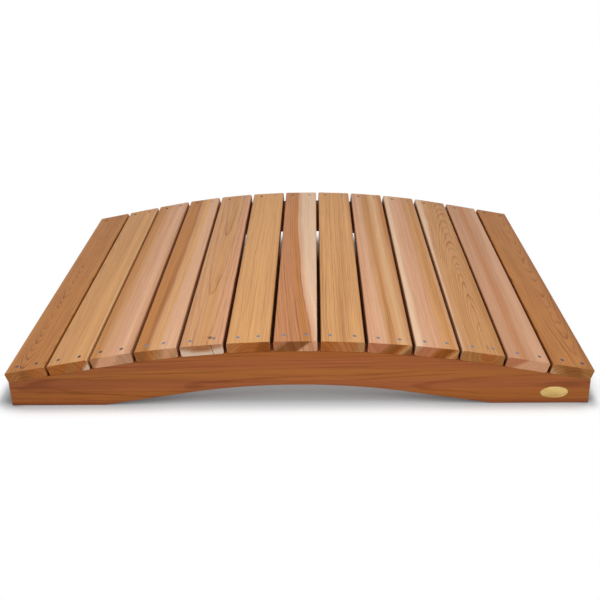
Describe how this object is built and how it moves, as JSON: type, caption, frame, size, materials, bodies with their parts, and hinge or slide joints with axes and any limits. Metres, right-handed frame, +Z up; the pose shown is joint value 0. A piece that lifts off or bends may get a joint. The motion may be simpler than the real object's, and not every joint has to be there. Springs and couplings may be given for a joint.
{
  "type": "garden moon bridge",
  "caption": "Low arched garden bridge of cedar: a deck of boards screwed down across two curved beams, with no rails.",
  "frame": {"origin": "on the ground, below the middle of the bridge", "axes": "+X along the span, +Y across the bridge from the front beam to the back beam, +Z up"},
  "size_m": [1.2354, 0.762, 0.1651],
  "materials": {
    "beam_cedar": "planed, oiled red cedar",
    "board_cedar": "planed, clear-oiled cedar",
    "screw_steel": "dull zinc",
    "plate_brass": "satin brass"
  },
  "bodies": {
    "root": {"front_beam": "beam_cedar", "back_beam": "beam_cedar", "slat_01": "board_cedar", "slat_02": "board_cedar", "slat_03": "board_cedar", "slat_04": "board_cedar", "slat_05": "board_cedar", "slat_06": "board_cedar", "slat_07": "board_cedar", "slat_08": "board_cedar", "slat_09": "board_cedar", "slat_10": "board_cedar", "slat_11": "board_cedar", "slat_12": "board_cedar", "slat_13": "board_cedar"}
  },
  "joints": []
}
